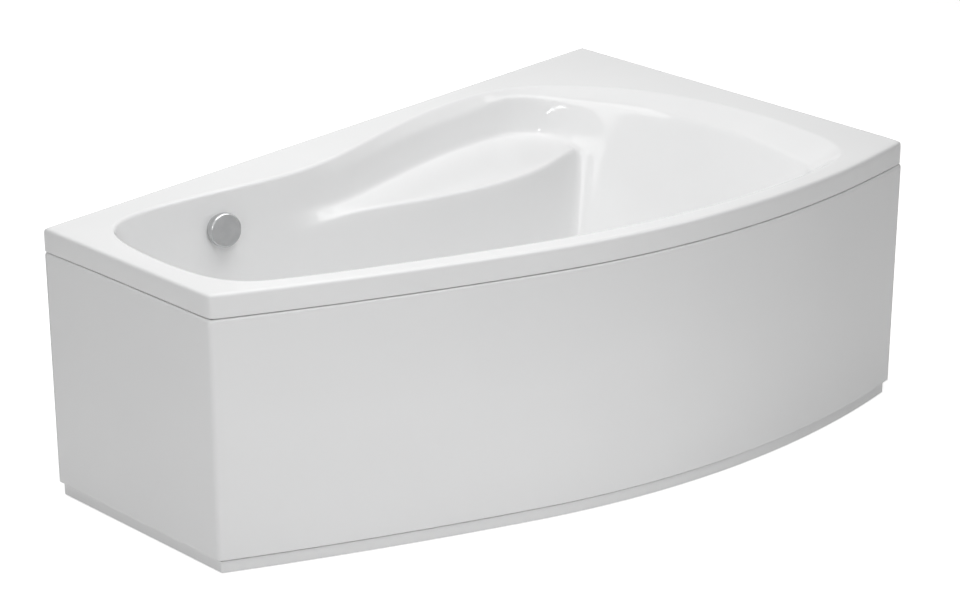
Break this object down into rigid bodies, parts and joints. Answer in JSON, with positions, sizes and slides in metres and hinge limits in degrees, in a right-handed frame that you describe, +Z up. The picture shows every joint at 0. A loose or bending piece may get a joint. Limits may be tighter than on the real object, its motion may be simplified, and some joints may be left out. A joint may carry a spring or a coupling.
{
  "type": "asymmetric bathtub",
  "caption": "Asymmetric corner bathtub in white acrylic with bowed apron panel, moulded shelf, neck rest, turning overflow cap with pop-up plug, trap and levelling feet.",
  "frame": {"origin": "on the floor, under the middle of the rim's bounding rectangle", "axes": "+X from the narrow foot end to the wide head end, +Y to the long wall, +Z up"},
  "size_m": [1.6, 0.9499, 0.6],
  "materials": {
    "acrylic": "glossy white sanitary acrylic",
    "panel_acrylic": "glossy white acrylic panel",
    "chrome": "polished chrome plate",
    "chipboard": "raw chipboard",
    "timber": "sawn softwood",
    "zinc_steel": "zinc plated steel",
    "rubber": "matt black rubber",
    "white_plastic": "white polypropylene",
    "grey_plastic": "grey polypropylene",
    "black_plastic": "black nylon",
    "conduit_nylon": "smooth black nylon tube",
    "brass": "turned brass"
  },
  "bodies": {
    "bath": {"base_board": "chipboard", "bath_shell": "acrylic", "conduit_clips": "black_plastic", "drain_pipe": "white_plastic", "foot_lock_nuts": "zinc_steel", "front_panel": "panel_acrylic", "overflow_elbow": "white_plastic", "overflow_gasket": "rubber", "overflow_pipe": "grey_plastic", "overflow_rosette": "chrome", "overflow_screws": "zinc_steel", "panel_clip_screws": "zinc_steel", "panel_clips": "zinc_steel", "panel_stay_bolts": "zinc_steel", "panel_stay_screws": "zinc_steel", "panel_stays": "zinc_steel", "rail_foot_end": "zinc_steel", "rail_head_end": "zinc_steel", "rail_middle": "zinc_steel", "rail_screws": "zinc_steel", "rim_blocks": "timber", "trap": "white_plastic", "trap_nuts": "black_plastic", "union_nuts": "black_plastic", "wall_bracket_screws": "zinc_steel", "wall_brackets": "zinc_steel", "waste_body": "white_plastic", "waste_flange": "chrome", "waste_gasket": "rubber", "waste_seal": "rubber", "wire_conduit": "conduit_nylon"},
    "knob": {"overflow_knob": "chrome", "knob_spindle": "brass"},
    "plug": {"waste_plug": "chrome", "plug_stem": "brass", "plug_seal": "rubber"},
    "foot_1": {"foot_rod_1": "zinc_steel", "foot_pad_1": "black_plastic"},
    "foot_2": {"foot_rod_2": "zinc_steel", "foot_pad_2": "black_plastic"},
    "foot_3": {"foot_rod_3": "zinc_steel", "foot_pad_3": "black_plastic"},
    "foot_4": {"foot_rod_4": "zinc_steel", "foot_pad_4": "black_plastic"},
    "foot_5": {"foot_rod_5": "zinc_steel", "foot_pad_5": "black_plastic"},
    "foot_6": {"foot_rod_6": "zinc_steel", "foot_pad_6": "black_plastic"}
  },
  "joints": [
    {"name": "knob_turn", "type": "hinge", "parent": "bath", "child": "knob", "pos_m": [-0.43, 0.3676, 0.522], "axis": [-0.1858, -0.9701, 0.1562], "range_deg": [0, 90]},
    {"name": "plug_lift", "type": "slide", "parent": "bath", "child": "plug", "axis": [0, 0, 1], "range_m": [0, 0.012]},
    {"name": "foot_1_screw", "type": "slide", "parent": "bath", "child": "foot_1", "axis": [0, 0, -1], "range_m": [-0.012, 0.03]},
    {"name": "foot_2_screw", "type": "slide", "parent": "bath", "child": "foot_2", "axis": [0, 0, -1], "range_m": [-0.012, 0.03]},
    {"name": "foot_3_screw", "type": "slide", "parent": "bath", "child": "foot_3", "axis": [0, 0, -1], "range_m": [-0.012, 0.03]},
    {"name": "foot_4_screw", "type": "slide", "parent": "bath", "child": "foot_4", "axis": [0, 0, -1], "range_m": [-0.012, 0.03]},
    {"name": "foot_5_screw", "type": "slide", "parent": "bath", "child": "foot_5", "axis": [0, 0, -1], "range_m": [-0.012, 0.03]},
    {"name": "foot_6_screw", "type": "slide", "parent": "bath", "child": "foot_6", "axis": [0, 0, -1], "range_m": [-0.012, 0.03]}
  ],
  "couplings": [
    {"joint": "plug_lift", "follows": "knob_turn", "m_per_rad": 0.0076}
  ]
}
